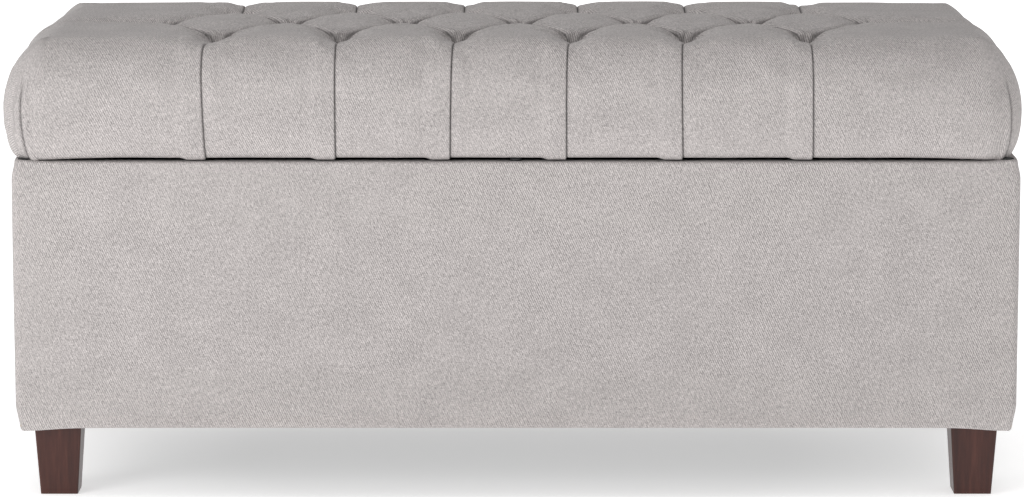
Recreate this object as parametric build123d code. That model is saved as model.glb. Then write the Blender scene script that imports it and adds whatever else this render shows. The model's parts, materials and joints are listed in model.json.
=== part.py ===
from build123d import *
from math import sqrt
import os

# Upholstered storage bench, millimetres. The origin is on the floor under the middle of the
# bench, +Z is up, +X runs along the bench and the front faces -Y.

# Overall size
bench_width = 1067.0  # over the lid's side bulges
bench_depth = 470.0  # over the lid's front and rear bulges
bench_height = 486.0  # floor to the top of the cushion
leg_height = 75.0
box_height = 283.0  # fabric underside to the top of the rim
lid_overhang = 6.5  # lid bulge beyond the box, on every side
seam_gap = 3.0  # between the rim and the closed lid

# Layers of the walls
cover_thickness = 1.2
padding_thickness = 4.0
panel_thickness = 15.0
lining_thickness = 1.2
dust_cover_thickness = 0.8
box_corner_radius = 8.0  # of the cover, in plan
box_edge_radius = 3.0  # of the cover, along the rim and the underside
cover_turn_in = 26.0  # down inside the rim
cover_turn_under = 58.0  # under the base, below the legs
dust_cover_inset = 25.0

# Base of the box
base_thickness = 12.0
block_size = 60.0
block_height = 25.0
cleat_width = 25.0

# Legs and their bolts
leg_top = 49.5
leg_foot = 39.5
leg_edge_radius = 2.0
leg_inset = 18.0
leg_notch_clearance = 2.0
bolt_radius = 4.0
bolt_into_leg = 42.0
bolt_into_block = 22.0
nut_barrel_radius = 5.2
nut_flange_radius = 11.0
nut_flange_thickness = 1.5
nut_barrel_length = 12.0

# Wood screws: shank radius, head radius, head height, length
screw_shank = 1.75
screw_head = 3.4
screw_head_height = 1.8
screw_recess_width = 0.8
screw_recess_depth = 0.7
hinge_screw_length = 14.0
stay_screw_length = 12.0
panel_screw_length = 40.0
base_screw_length = 32.0
panel_screws_per_corner = 3
panel_screw_margin = 40.0

# Lid: board, padding and cover
board_thickness = 15.0
lid_corner_radius = 45.0  # in plan
lid_top_radius = 48.0
lid_bottom_radius = 14.0
lid_turn_under = 45.0
batting_thickness = 5.0

# Tufts: rows of buttons in a diamond pattern
tuft_counts = (6, 7, 6)
tuft_end_margin = 155.5  # lid side to the outer tufts of the longest row
tuft_edge_margin = 117.0  # lid front or rear to the outer rows
tuft_depth = 28.0
tuft_mouth_radius = 24.0
tuft_seat_radius = 10.5
button_radius = 9.5
button_height = 6.0
button_edge_radius = 2.5
tie_radius = 1.0
tie_hole_radius = 3.0
washer_radius = 11.0
washer_thickness = 1.5

# Rubber bumpers on the rim
bumper_radius = 6.0
bumper_clearance = 0.3

# Butt hinges on the rear rim
hinge_spacing = 660.0
hinge_length = 70.0
hinge_leaf_width = 19.5
hinge_leaf_clearance = 0.6
hinge_knuckle_radius = 3.0
hinge_knuckle_clearance = 0.3
hinge_end_gap = 0.2
hinge_pin_radius = 1.5
hinge_screw_spacing = 24.0

# Lid stays: a four-bar linkage whose arms repeat the sides of the hinge triangle
stay_box_forward = 42.0  # hinge axis to the pivot on the box
stay_box_down = 115.0
stay_lid_forward = 120.0  # hinge axis to the pivot on the lid
stay_lid_down = 20.0
stay_arm_width = 16.0
stay_arm_thickness = 2.0
stay_plate_thickness = 1.5
stay_plate_width = 28.0
stay_plate_height = 62.0
stay_plate_corner = 5.0
stay_flange_length = 50.0
stay_flange_width = 24.0
stay_screw_end = 9.0  # screw centre to the end of its plate
stay_gap = 0.3  # sideways, between neighbouring plates
rivet_radius = 3.0
rivet_head_radius = 5.5
rivet_head_thickness = 1.2
pivot_clearance = 0.06
rivet_head_gap = 0.2

through = 1.0  # how far a cutting shape runs past the face it cuts

# Places worked out from the sizes above
lid_half_width = bench_width / 2
lid_half_depth = bench_depth / 2
box_half_width = lid_half_width - lid_overhang
box_half_depth = lid_half_depth - lid_overhang
box_bottom = leg_height
box_top = leg_height + box_height
lid_bottom = box_top + seam_gap
frame_bottom = box_bottom + cover_thickness
frame_top = box_top - cover_thickness
panel_inset = cover_thickness + padding_thickness
inner_inset = panel_inset + panel_thickness
cavity_inset = inner_inset + lining_thickness
base_bottom = frame_bottom + block_height
base_top = base_bottom + base_thickness
board_bottom = lid_bottom + cover_thickness
board_half_width = lid_half_width - lid_bottom_radius
board_half_depth = lid_half_depth - lid_bottom_radius
tuft_pitch = 2 * (lid_half_width - tuft_end_margin) / (max(tuft_counts) - 1)
tuft_row_pitch = lid_half_depth - tuft_edge_margin
tuft_floor = bench_height - tuft_depth
hinge_leaf_thickness = (seam_gap - hinge_leaf_clearance) / 2
hinge_axis_y = box_half_depth + hinge_knuckle_radius + hinge_knuckle_clearance
hinge_axis_z = box_top + seam_gap / 2
rim_middle_y = box_half_depth - panel_inset - panel_thickness / 2
stay_box_pivot = (hinge_axis_y - stay_box_forward, hinge_axis_z - stay_box_down)
stay_lid_pivot = (hinge_axis_y - stay_lid_forward, hinge_axis_z - stay_lid_down)
stay_knuckle = (stay_box_pivot[0] - stay_lid_forward, stay_box_pivot[1] - stay_lid_down)
stay_plate_face = box_half_width - cavity_inset - stay_plate_thickness
lower_arm_face = stay_plate_face - stay_gap - stay_arm_thickness
upper_arm_face = lower_arm_face - stay_gap - stay_arm_thickness
lid_web_face = upper_arm_face - stay_gap - stay_plate_thickness
corners = [(sx, sy) for sy in (-1, 1) for sx in (-1, 1)]
corner_names = {(-1, -1): "front_left", (1, -1): "front_right", (-1, 1): "rear_left", (1, 1): "rear_right"}
side_names = {-1: "left", 1: "right"}


def slab(x_range, y_range, z_range):
    """A block between two corners."""
    spans = [sorted(span) for span in (x_range, y_range, z_range)]
    middle = [(low + high) / 2 for low, high in spans]
    return Pos(*middle) * Box(*[high - low for low, high in spans])


def box_block(inset, z_range):
    """A square-cornered block inside the box's outline."""
    x = box_half_width - inset
    y = box_half_depth - inset
    return slab((-x, x), (-y, y), z_range)


def rounded_block(half_width, half_depth, z_range, radius):
    """A block with round corners in plan."""
    plan = RectangleRounded(2 * half_width, 2 * half_depth, radius)
    return extrude(Pos(0, 0, z_range[0]) * plan, amount=z_range[1] - z_range[0])


def edges_at(solid, z):
    """The edges that lie flat at one height."""
    return solid.edges().filter_by_position(Axis.Z, z - 0.01, z + 0.01)


def rod(start, end, radius):
    """A round bar along X, from (x, y, z) to a second x."""
    length = abs(end - start[0])
    middle = (start[0] + end) / 2
    return Pos(middle, start[1], start[2]) * Rot(0, 90, 0) * Cylinder(radius, length)


def together(solids):
    """Separate solids kept as one group."""
    return Compound(children=list(solids))


# Box ------------------------------------------------------------------------------------------


def make_box_cover():
    body = rounded_block(box_half_width, box_half_depth, (box_bottom, box_top), box_corner_radius)
    body = fillet(edges_at(body, box_top) + edges_at(body, box_bottom), box_edge_radius)
    hollow = rounded_block(
        box_half_width - cover_thickness,
        box_half_depth - cover_thickness,
        (frame_bottom, frame_top),
        box_corner_radius - cover_thickness,
    )
    shell = body - hollow
    shell -= box_block(cavity_inset, (frame_top, box_top))
    shell -= box_block(cover_turn_under, (box_bottom, frame_bottom))
    turned_in = (frame_top - cover_turn_in, frame_top)
    return shell + (box_block(inner_inset, turned_in) - box_block(cavity_inset, turned_in))


def make_box_padding():
    z_range = (frame_bottom, frame_top)
    outside = rounded_block(
        box_half_width - cover_thickness,
        box_half_depth - cover_thickness,
        z_range,
        box_corner_radius - cover_thickness,
    )
    return outside - box_block(panel_inset, z_range)


def make_long_panel(side):
    """Front (-1) or back (1) panel, as wide as the frame."""
    x = box_half_width - panel_inset
    y = box_half_depth - panel_inset
    return slab((-x, x), (side * y, side * (y - panel_thickness)), (frame_bottom, frame_top))


def make_side_panel(side):
    """Left (-1) or right (1) panel, between the long panels."""
    x = box_half_width - panel_inset
    y = box_half_depth - inner_inset
    return slab((side * x, side * (x - panel_thickness)), (-y, y), (frame_bottom, frame_top))


def make_base_panel():
    return box_block(inner_inset, (base_bottom, base_top))


def make_base_lining():
    return box_block(inner_inset, (base_top, base_top + lining_thickness))


def make_side_lining():
    z_range = (base_top + lining_thickness, frame_top - cover_turn_in)
    return box_block(inner_inset, z_range) - box_block(cavity_inset, z_range)


def make_corner_block(corner):
    x = box_half_width - inner_inset
    y = box_half_depth - inner_inset
    return slab(
        (corner[0] * x, corner[0] * (x - block_size)),
        (corner[1] * y, corner[1] * (y - block_size)),
        (frame_bottom, base_bottom),
    )


def make_long_cleat(side):
    x = box_half_width - inner_inset - block_size
    y = box_half_depth - inner_inset
    return slab((-x, x), (side * y, side * (y - cleat_width)), (frame_bottom, base_bottom))


def make_side_cleat(side):
    x = box_half_width - inner_inset
    y = box_half_depth - inner_inset - block_size
    return slab((side * x, side * (x - cleat_width)), (-y, y), (frame_bottom, base_bottom))


def leg_centre(corner):
    reach = leg_inset + leg_top / 2
    return corner[0] * (box_half_width - reach), corner[1] * (box_half_depth - reach)


def make_leg(corner):
    """A square leg that tapers evenly towards the floor."""
    foot = RectangleRounded(leg_foot, leg_foot, leg_edge_radius)
    top = Pos(0, 0, leg_height) * RectangleRounded(leg_top, leg_top, leg_edge_radius)
    return Pos(*leg_centre(corner), 0) * loft([foot.face(), top.face()])


def make_dust_cover():
    sheet = box_block(dust_cover_inset, (box_bottom - dust_cover_thickness, box_bottom))
    half = leg_top / 2 + leg_notch_clearance
    reach = leg_inset + leg_top / 2
    for corner in corners:
        x, y = leg_centre(corner)
        outer_x = x + corner[0] * reach
        outer_y = y + corner[1] * reach
        sheet -= slab(
            (x - corner[0] * half, outer_x),
            (y - corner[1] * half, outer_y),
            (box_bottom - dust_cover_thickness, box_bottom),
        )
    return sheet


def make_hanger_bolt(corner):
    length = bolt_into_leg + bolt_into_block
    low = box_bottom - bolt_into_leg
    return Pos(*leg_centre(corner), low + length / 2) * Cylinder(bolt_radius, length)


def make_tee_nut(corner):
    flange_z = base_bottom - nut_flange_thickness / 2
    barrel_z = base_bottom - nut_flange_thickness - nut_barrel_length / 2
    flange = Pos(0, 0, flange_z) * Cylinder(nut_flange_radius, nut_flange_thickness)
    barrel = Pos(0, 0, barrel_z) * Cylinder(nut_barrel_radius, nut_barrel_length)
    return Pos(*leg_centre(corner), 0) * (flange + barrel) - make_hanger_bolt(corner)


def make_bumpers():
    """Pads on the rim: one near each corner and one halfway along the front and the back."""
    x = box_half_width - panel_inset - panel_thickness / 2
    height = seam_gap - bumper_clearance
    pad = Cylinder(bumper_radius, height)
    places = [(sx * x, sy * rim_middle_y) for sy in (-1, 1) for sx in (-1, 0, 1)]
    return [Pos(px, py, box_top + height / 2) * pad for px, py in places]


# Screws ---------------------------------------------------------------------------------------


def wood_screw(length):
    """A countersunk screw along -Z, with its head's face at the origin."""
    head = Pos(0, 0, -screw_head_height / 2) * Cone(screw_shank, screw_head, screw_head_height)
    return head + Pos(0, 0, -length / 2) * Cylinder(screw_shank, length)


def with_recess(screw):
    """The same screw with a cross recess in its head."""
    depth = 2 * screw_recess_depth
    for size in ((screw_shank * 2, screw_recess_width), (screw_recess_width, screw_shank * 2)):
        screw -= Box(size[0], size[1], depth)
    return screw


def placed(places, length, turn=Rot(0, 0, 0)):
    """Plain screws for cutting their holes, and the same screws with recesses."""
    plain = wood_screw(length)
    finished = with_recess(plain)
    return [Pos(*p) * turn * plain for p in places], [Pos(*p) * turn * finished for p in places]


def drilled(solid, tools):
    for tool in tools:
        solid -= tool
    return solid


def hinge_screw_places(z):
    offsets = (-hinge_screw_spacing, 0, hinge_screw_spacing)
    return [(s * hinge_spacing / 2 + o, rim_middle_y, z) for s in (-1, 1) for o in offsets]


def panel_screw_places(side):
    x = box_half_width - panel_inset - panel_thickness / 2
    y = side * (box_half_depth - panel_inset)
    low = frame_bottom + panel_screw_margin
    step = (frame_top - frame_bottom - 2 * panel_screw_margin) / (panel_screws_per_corner - 1)
    return [(sx * x, y, low + i * step) for sx in (-1, 1) for i in range(panel_screws_per_corner)]


def base_screw_places():
    x_reach = box_half_width - inner_inset - cleat_width / 2
    y_reach = box_half_depth - inner_inset - cleat_width / 2
    along = (x_reach - block_size) * 2 / 3
    long_rows = [(x, sy * y_reach, base_top) for sy in (-1, 1) for x in (-along, 0, along)]
    return long_rows + [(sx * x_reach, 0, base_top) for sx in (-1, 1)]


def stay_box_screw_places(side):
    y, z = stay_box_pivot
    offset = stay_plate_height / 2 - stay_screw_end
    return [(side * stay_plate_face, y, z + d) for d in (-offset, offset)]


def stay_lid_screw_places(side):
    x = side * (lid_web_face - stay_flange_width / 2)
    offset = stay_flange_length / 2 - stay_screw_end
    z = lid_bottom - stay_plate_thickness
    return [(x, stay_lid_pivot[0] + d, z) for d in (-offset, offset)]


# Hinges ---------------------------------------------------------------------------------------


def knuckle_spans(x):
    """X ranges of the three knuckles of the hinge centred on x: outer, middle, outer."""
    third = hinge_length / 3
    start = x - hinge_length / 2
    gap = hinge_end_gap / 2
    return [(start + i * third + gap, start + (i + 1) * third - gap) for i in range(3)]


def knuckle(span, radius=hinge_knuckle_radius):
    return rod((span[0], hinge_axis_y, hinge_axis_z), span[1], radius)


def make_leaf(x, z_low, own, others, hole_radius):
    """A leaf with its own knuckles, cut back beside the other leaf's knuckles."""
    inner = rim_middle_y - hinge_leaf_width / 2
    z_range = (z_low, z_low + hinge_leaf_thickness)
    leaf = slab((x - hinge_length / 2, x + hinge_length / 2), (inner, hinge_axis_y), z_range)
    reach = hinge_knuckle_radius + hinge_knuckle_clearance
    for span in others:
        wide = (span[0] - hinge_end_gap, span[1] + hinge_end_gap)
        leaf -= slab(wide, (hinge_axis_y - reach, hinge_axis_y + reach), z_range)
    for span in own:
        leaf += knuckle(span)
    return leaf - knuckle((x - hinge_length, x + hinge_length), hole_radius)


def make_hinge(side):
    """Box leaf, lid leaf and pin. The pin is held by the box leaf and turns in the lid leaf."""
    x = side * hinge_spacing / 2
    spans = knuckle_spans(x)
    outer = [spans[0], spans[2]]
    middle = [spans[1]]
    box_leaf = make_leaf(x, box_top, outer, middle, hinge_pin_radius)
    lid_leaf_bottom = lid_bottom - hinge_leaf_thickness
    running = hinge_pin_radius + pivot_clearance
    lid_leaf = make_leaf(x, lid_leaf_bottom, middle, outer, running)
    pin = knuckle((x - hinge_length / 2, x + hinge_length / 2), hinge_pin_radius)
    return box_leaf, lid_leaf, pin


# Lid stays ------------------------------------------------------------------------------------


def plate_yz(side, face, thickness, sketch, centre, direction=(0, 1, 0)):
    """A plate in the YZ plane: face is its inner |x|, and it grows outwards."""
    start = min(side * face, side * (face + thickness))
    plane = Plane(origin=(start, *centre), x_dir=direction, z_dir=(1, 0, 0))
    return extrude(plane * sketch, amount=thickness)


def make_arm(side, face, start, end, start_hole, end_hole):
    """A flat bar with round ends and a hole at each pivot."""
    dy = end[0] - start[0]
    dz = end[1] - start[1]
    middle = ((start[0] + end[0]) / 2, (start[1] + end[1]) / 2)
    outline = SlotCenterToCenter(sqrt(dy * dy + dz * dz), stay_arm_width)
    bar = plate_yz(side, face, stay_arm_thickness, outline, middle, (0, dy, dz))
    for pivot, radius in ((start, start_hole), (end, end_hole)):
        outer = face + stay_arm_thickness + through
        bar -= rod((side * (face - through), *pivot), side * outer, radius)
    return bar


def make_rivet(side, pivot, shank, heads):
    """A rivet along X: |x| ranges for the shank and for each head."""
    rivet = rod((side * shank[0], *pivot), side * shank[1], rivet_radius)
    for low, high in heads:
        rivet += rod((side * low, *pivot), side * high, rivet_head_radius)
    return rivet


def make_box_rivet(side):
    """Fixed in the box plate; the lower arm turns on it."""
    wall = box_half_width - cavity_inset
    head = lower_arm_face - rivet_head_gap
    return make_rivet(side, stay_box_pivot, (head, wall), [(head - rivet_head_thickness, head)])


def make_knuckle_rivet(side):
    """Fixed in the lower arm; the upper arm turns on it."""
    head = upper_arm_face - rivet_head_gap
    outer = lower_arm_face + stay_arm_thickness
    heads = [(head - rivet_head_thickness, head), (outer, outer + rivet_head_thickness)]
    return make_rivet(side, stay_knuckle, (head, outer), heads)


def make_lid_rivet(side):
    """Fixed in the lid bracket; the upper arm turns on it."""
    head = upper_arm_face + stay_arm_thickness + rivet_head_gap
    heads = [(head, head + rivet_head_thickness)]
    return make_rivet(side, stay_lid_pivot, (lid_web_face, head), heads)


def make_box_plate(side):
    outline = RectangleRounded(stay_plate_width, stay_plate_height, stay_plate_corner)
    return plate_yz(side, stay_plate_face, stay_plate_thickness, outline, stay_box_pivot)


def make_lid_bracket(side):
    """An angle: a flange on the lid's underside and a round-ended web that holds the pivot."""
    y, z = stay_lid_pivot
    half = stay_arm_width / 2
    flange = slab(
        (side * (lid_web_face - stay_flange_width), side * (lid_web_face + stay_plate_thickness)),
        (y - stay_flange_length / 2, y + stay_flange_length / 2),
        (lid_bottom - stay_plate_thickness, lid_bottom),
    )
    x_range = (side * lid_web_face, side * (lid_web_face + stay_plate_thickness))
    web = slab(x_range, (y - half, y + half), (z, lid_bottom))
    web += rod((x_range[0], y, z), x_range[1], half)
    return flange + web


# Lid ------------------------------------------------------------------------------------------


def tuft_places():
    rows = (len(tuft_counts) - 1) / 2
    places = []
    for row, count in enumerate(tuft_counts):
        y = (row - rows) * tuft_row_pitch
        places += [((i - (count - 1) / 2) * tuft_pitch, y) for i in range(count)]
    return places


def make_dimple(inset):
    """The hollow over a button, grown by the depth of the layers below the surface."""
    slope = (tuft_mouth_radius - tuft_seat_radius) / tuft_depth
    bottom = tuft_floor - inset
    height = bench_height + through - bottom
    low_radius = tuft_seat_radius + inset * (sqrt(1 + slope * slope) - slope)
    return Pos(0, 0, bottom + height / 2) * Cone(low_radius, low_radius + slope * height, height)


def make_cushion(inset, bottom):
    """The lid's cushion shape, a layer's depth inside the outer surface, with its dimples."""
    low_radius = lid_bottom_radius - inset
    top = bench_height - inset
    block = rounded_block(
        lid_half_width - inset, lid_half_depth - inset, (bottom, top), lid_corner_radius - inset
    )
    block = fillet(edges_at(block, top), lid_top_radius - inset)
    block = fillet(edges_at(block, bottom), low_radius)
    dimple = make_dimple(inset)
    return drilled(block, [Pos(x, y, 0) * dimple for x, y in tuft_places()])


def make_board_shape():
    z_range = (board_bottom, board_bottom + board_thickness)
    radius = lid_corner_radius - lid_bottom_radius
    return rounded_block(board_half_width, board_half_depth, z_range, radius)


def make_button(x, y):
    disc = Pos(x, y, tuft_floor + button_height / 2) * Cylinder(button_radius, button_height)
    return fillet(edges_at(disc, tuft_floor + button_height), button_edge_radius)


def make_tie(x, y):
    height = tuft_floor - board_bottom
    return Pos(x, y, board_bottom + height / 2) * Cylinder(tie_radius, height)


def make_washer(x, y):
    disc = Cylinder(washer_radius, washer_thickness)
    return Pos(x, y, board_bottom + washer_thickness / 2) * (disc - Cylinder(tie_radius, board_thickness))


def make_lid(hinge_holes, stay_holes):
    """Board, foam, batting, cover, lining, buttons, ties and washers, drilled for the fittings."""
    places = tuft_places()
    ties = [make_tie(x, y) for x, y in places]
    outer = make_cushion(0.0, lid_bottom)
    inner = make_cushion(cover_thickness, board_bottom)
    core = make_cushion(cover_thickness + batting_thickness, board_bottom)
    board = make_board_shape()
    opening_x = lid_half_width - lid_turn_under
    opening_y = lid_half_depth - lid_turn_under
    lining = slab((-opening_x, opening_x), (-opening_y, opening_y), (lid_bottom, board_bottom))
    cover = drilled(outer - inner - lining, ties + hinge_holes + stay_holes)
    batting = drilled(inner - core, ties)
    foam = drilled(core - board, ties)
    hole = Pos(0, 0, board_bottom + board_thickness / 2) * Cylinder(tie_hole_radius, board_thickness)
    recess = Pos(0, 0, board_bottom + washer_thickness / 2) * Cylinder(washer_radius, washer_thickness)
    tie_hole = hole + recess
    board = drilled(board, [Pos(x, y, 0) * tie_hole for x, y in places] + hinge_holes + stay_holes)
    return {
        "lid_board": board,
        "lid_foam": foam,
        "lid_batting": batting,
        "lid_cover": cover,
        "lid_lining": drilled(lining, stay_holes),
        "tuft_buttons": together(make_button(x, y) for x, y in places),
        "tuft_ties": together(ties),
        "tie_washers": together(make_washer(x, y) for x, y in places),
    }


# Assembly -------------------------------------------------------------------------------------


def make_frame_and_legs():
    """The box's boards, legs and their bolts."""
    nodes = {}
    bolts = {corner: make_hanger_bolt(corner) for corner in corners}
    nuts = {corner: make_tee_nut(corner) for corner in corners}
    for corner in corners:
        block = make_corner_block(corner) - bolts[corner] - nuts[corner]
        nodes["corner_block_" + corner_names[corner]] = block
        nodes["leg_" + corner_names[corner]] = make_leg(corner) - bolts[corner]
    nodes["hanger_bolts"] = together(bolts.values())
    nodes["tee_nuts"] = together(nuts.values())
    nodes["box_cover"] = drilled(make_box_cover(), bolts.values())
    return nodes


def make_base():
    """The base panel on its cleats, its screws, its lining and the dust cover."""
    tools, screws = placed(base_screw_places(), base_screw_length)
    nodes = {
        "cleat_front": make_long_cleat(-1),
        "cleat_back": make_long_cleat(1),
        "cleat_left": make_side_cleat(-1),
        "cleat_right": make_side_cleat(1),
        "base_panel": make_base_panel(),
    }
    nodes = {name: drilled(solid, tools) for name, solid in nodes.items()}
    nodes["base_screws"] = together(screws)
    nodes["base_lining"] = make_base_lining()
    nodes["dust_cover"] = make_dust_cover()
    return nodes


def make_walls(hinge_holes, stay_holes):
    """The four panels, the screws at their corners, the padding and the wall lining."""
    nodes = {"box_padding": make_box_padding(), "side_lining": drilled(make_side_lining(), stay_holes)}
    all_tools = []
    all_screws = []
    for side in (-1, 1):
        turn = Rot(-90 * side, 0, 0)
        tools, screws = placed(panel_screw_places(side), panel_screw_length, turn)
        all_tools += tools
        all_screws += screws
    nodes["front_panel"] = drilled(make_long_panel(-1), all_tools)
    nodes["back_panel"] = drilled(make_long_panel(1), all_tools + hinge_holes)
    nodes["left_panel"] = drilled(make_side_panel(-1), all_tools + stay_holes)
    nodes["right_panel"] = drilled(make_side_panel(1), all_tools + stay_holes)
    nodes["panel_screws"] = together(all_screws)
    return nodes


def make_stays(box_screws, lid_screws):
    """Plates, brackets, arms and rivets of both stays."""
    nodes = {}
    running = rivet_radius + pivot_clearance
    for side, name in side_names.items():
        plate = drilled(make_box_plate(side) - make_box_rivet(side), box_screws)
        bracket = drilled(make_lid_bracket(side) - make_lid_rivet(side), lid_screws)
        nodes["stay_box_plate_" + name] = plate
        nodes["stay_lid_bracket_" + name] = bracket
        nodes["stay_lower_arm_" + name] = make_arm(
            side, lower_arm_face, stay_box_pivot, stay_knuckle, running, rivet_radius
        )
        nodes["stay_upper_arm_" + name] = make_arm(
            side, upper_arm_face, stay_lid_pivot, stay_knuckle, running, running
        )
        nodes["stay_knuckle_rivet_" + name] = make_knuckle_rivet(side)
    nodes["stay_box_rivets"] = together(make_box_rivet(side) for side in side_names)
    nodes["stay_lid_rivets"] = together(make_lid_rivet(side) for side in side_names)
    return nodes


def make_bench():
    upright = Rot(0, 0, 0)
    upside_down = Rot(180, 0, 0)
    box_hinge_z = box_top + hinge_leaf_thickness
    lid_hinge_z = lid_bottom - hinge_leaf_thickness
    box_tools, box_screws = placed(hinge_screw_places(box_hinge_z), hinge_screw_length, upright)
    lid_tools, lid_screws = placed(hinge_screw_places(lid_hinge_z), hinge_screw_length, upside_down)
    wall_tools, wall_screws = [], []
    top_tools, top_screws = [], []
    for side in side_names:
        outwards = Rot(0, -90 * side, 0)
        tools, screws = placed(stay_box_screw_places(side), stay_screw_length, outwards)
        wall_tools += tools
        wall_screws += screws
        tools, screws = placed(stay_lid_screw_places(side), stay_screw_length, upside_down)
        top_tools += tools
        top_screws += screws

    nodes = make_frame_and_legs()
    nodes["box_cover"] = drilled(nodes["box_cover"], box_tools)
    nodes.update(make_base())
    nodes.update(make_walls(box_tools, wall_tools))
    nodes.update(make_lid(lid_tools, top_tools))
    nodes.update(make_stays(wall_tools, top_tools))
    for side, name in side_names.items():
        box_leaf, lid_leaf, pin = make_hinge(side)
        nodes["hinge_box_leaf_" + name] = drilled(box_leaf, box_tools)
        nodes["hinge_lid_leaf_" + name] = drilled(lid_leaf, lid_tools)
        nodes["hinge_pin_" + name] = pin
    nodes["hinge_box_screws"] = together(box_screws)
    nodes["hinge_lid_screws"] = together(lid_screws)
    nodes["stay_box_screws"] = together(wall_screws)
    nodes["stay_lid_screws"] = together(top_screws)
    nodes["lid_bumpers"] = together(make_bumpers())
    return nodes


os.makedirs("parts", exist_ok=True)
for node, shape in make_bench().items():
    export_step(shape, "parts/" + node + ".step")
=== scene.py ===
import json
import math

import bpy
import numpy as np
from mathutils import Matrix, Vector
from mathutils.kdtree import KDTree


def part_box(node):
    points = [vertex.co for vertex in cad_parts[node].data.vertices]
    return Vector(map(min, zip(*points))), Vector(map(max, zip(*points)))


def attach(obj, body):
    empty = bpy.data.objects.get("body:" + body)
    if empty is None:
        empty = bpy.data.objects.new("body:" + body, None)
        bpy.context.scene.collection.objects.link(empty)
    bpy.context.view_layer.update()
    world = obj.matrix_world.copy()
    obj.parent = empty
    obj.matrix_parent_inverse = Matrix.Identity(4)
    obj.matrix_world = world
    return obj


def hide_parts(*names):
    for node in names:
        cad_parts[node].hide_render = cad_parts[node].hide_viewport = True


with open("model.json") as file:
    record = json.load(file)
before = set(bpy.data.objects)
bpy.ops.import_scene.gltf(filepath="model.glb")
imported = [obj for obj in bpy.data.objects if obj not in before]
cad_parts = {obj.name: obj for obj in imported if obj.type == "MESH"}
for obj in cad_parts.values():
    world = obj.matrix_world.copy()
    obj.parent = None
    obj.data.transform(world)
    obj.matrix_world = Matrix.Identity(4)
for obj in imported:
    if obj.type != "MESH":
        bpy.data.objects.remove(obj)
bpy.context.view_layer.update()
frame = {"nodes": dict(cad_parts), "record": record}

# Storage bench: fabric, wood and metal over the CAD frame. Metres, +Z up, front at -Y.

NODES = frame["nodes"]
MM = 0.001


# --- Numbers and curves ---


def smoothstep(low, high, value):
    t = np.clip((value - low) / (high - low), 0.0, 1.0)
    return t * t * (3.0 - 2.0 * t)


def clustered(count, pull):
    """count + 1 values from 0 to 1, closer together at both ends as pull goes from 0 to 1."""
    t = np.arange(count + 1) / count
    return (1 - pull) * t + pull * (1 - np.cos(np.pi * t)) / 2


def clustered_at_start(count, pull):
    t = np.arange(count + 1) / count
    return (1 - pull) * t + pull * (1 - np.cos(np.pi * t / 2))


def waves(x, y, z, size, seed, layers=5):
    """Smooth seeded noise from -1 to 1, as a sum of plane waves of about one size."""
    rng = np.random.default_rng(seed)
    total = np.zeros_like(x)
    for _ in range(layers):
        direction = rng.normal(size=3)
        direction *= rng.uniform(0.6, 1.6) * 2 * np.pi / size / np.linalg.norm(direction)
        total += np.sin(direction[0] * x + direction[1] * y + direction[2] * z + rng.uniform(0, 6.28))
    return total / layers


class Outline:
    """A rounded rectangle about the origin. s runs round it from the middle of the front to +X."""

    def __init__(self, half_x, half_y, radius):
        self.half_x, self.half_y, self.radius = half_x, half_y, radius
        across = half_x - radius
        deep = 2 * (half_y - radius)
        arc = math.pi * radius / 2
        self.arc_starts = [across, across + arc + deep, 3 * across + 2 * arc + deep]
        self.arc_starts.append(self.arc_starts[2] + arc + deep)
        self.arc = arc
        self.length = self.arc_starts[3] + arc + across
        self.side_middle = across + arc + deep / 2
        steps = [0.0]
        for start in self.arc_starts:
            steps += [start, start + arc]
        self.steps = np.array(steps + [self.length])
        x, y = across, half_y - radius
        self.cx = np.array([0, x, x, x, x, -x, -x, -x, -x, 0.0])
        self.cy = np.array([-y, -y, -y, y, y, y, y, -y, -y, -y])
        self.angle = np.radians([-90, -90, 0, 0, 90, 90, 180, 180, 270, 270.0])

    def centre(self, s):
        s = np.mod(s, self.length)
        return np.interp(s, self.steps, self.cx), np.interp(s, self.steps, self.cy)

    def normal(self, s):
        angle = np.interp(np.mod(s, self.length), self.steps, self.angle)
        return np.cos(angle), np.sin(angle)

    def at(self, s, inset):
        """Points a distance inside the outline."""
        cx, cy = self.centre(s)
        nx, ny = self.normal(s)
        reach = self.radius - inset
        return cx + reach * nx, cy + reach * ny

    def corner_share(self, s, spread):
        """1 in the middle of a corner, falling to 0 along the straight sides."""
        s = np.mod(s, self.length)
        share = np.zeros_like(s)
        for start in self.arc_starts:
            off = np.abs(s - (start + self.arc / 2)) / spread
            share = np.maximum(share, np.exp(-(off**2)))
        return share


# --- Mesh helpers ---


def new_piece(name, points, faces):
    mesh = bpy.data.meshes.new(name)
    mesh.from_pydata([tuple(p) for p in points], [], faces)
    mesh.validate()
    mesh.polygons.foreach_set("use_smooth", [True] * len(mesh.polygons))
    mesh.update()
    piece = bpy.data.objects.new(name, mesh)
    bpy.context.scene.collection.objects.link(piece)
    return piece


def set_cloth_places(piece, places):
    """Stores where each vertex lies in the flat cloth and how deep it is sunk, in metres, for the
    weave to follow."""
    layer = piece.data.attributes.new("cloth", "FLOAT_VECTOR", "POINT")
    flat = np.zeros((len(places), 3), np.float32)
    flat[:, : places.shape[1]] = places
    layer.data.foreach_set("vector", flat.ravel())


def set_shade(piece, values):
    """Stores how deep in a fold each vertex is, as painted shade for the material to darken."""
    layer = piece.data.attributes.new("painted_crease_shade", "FLOAT", "POINT")
    layer.data.foreach_set("value", np.asarray(values, np.float32))


def grid_faces(first, rows, columns, closed):
    """Quads over a grid whose vertices run row by row from index first."""
    faces = []
    for i in range(rows - 1):
        for j in range(columns if closed else columns - 1):
            k = (j + 1) % columns
            a = first + i * columns
            faces.append((a + j, a + k, a + columns + k, a + columns + j))
    return faces


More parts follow.
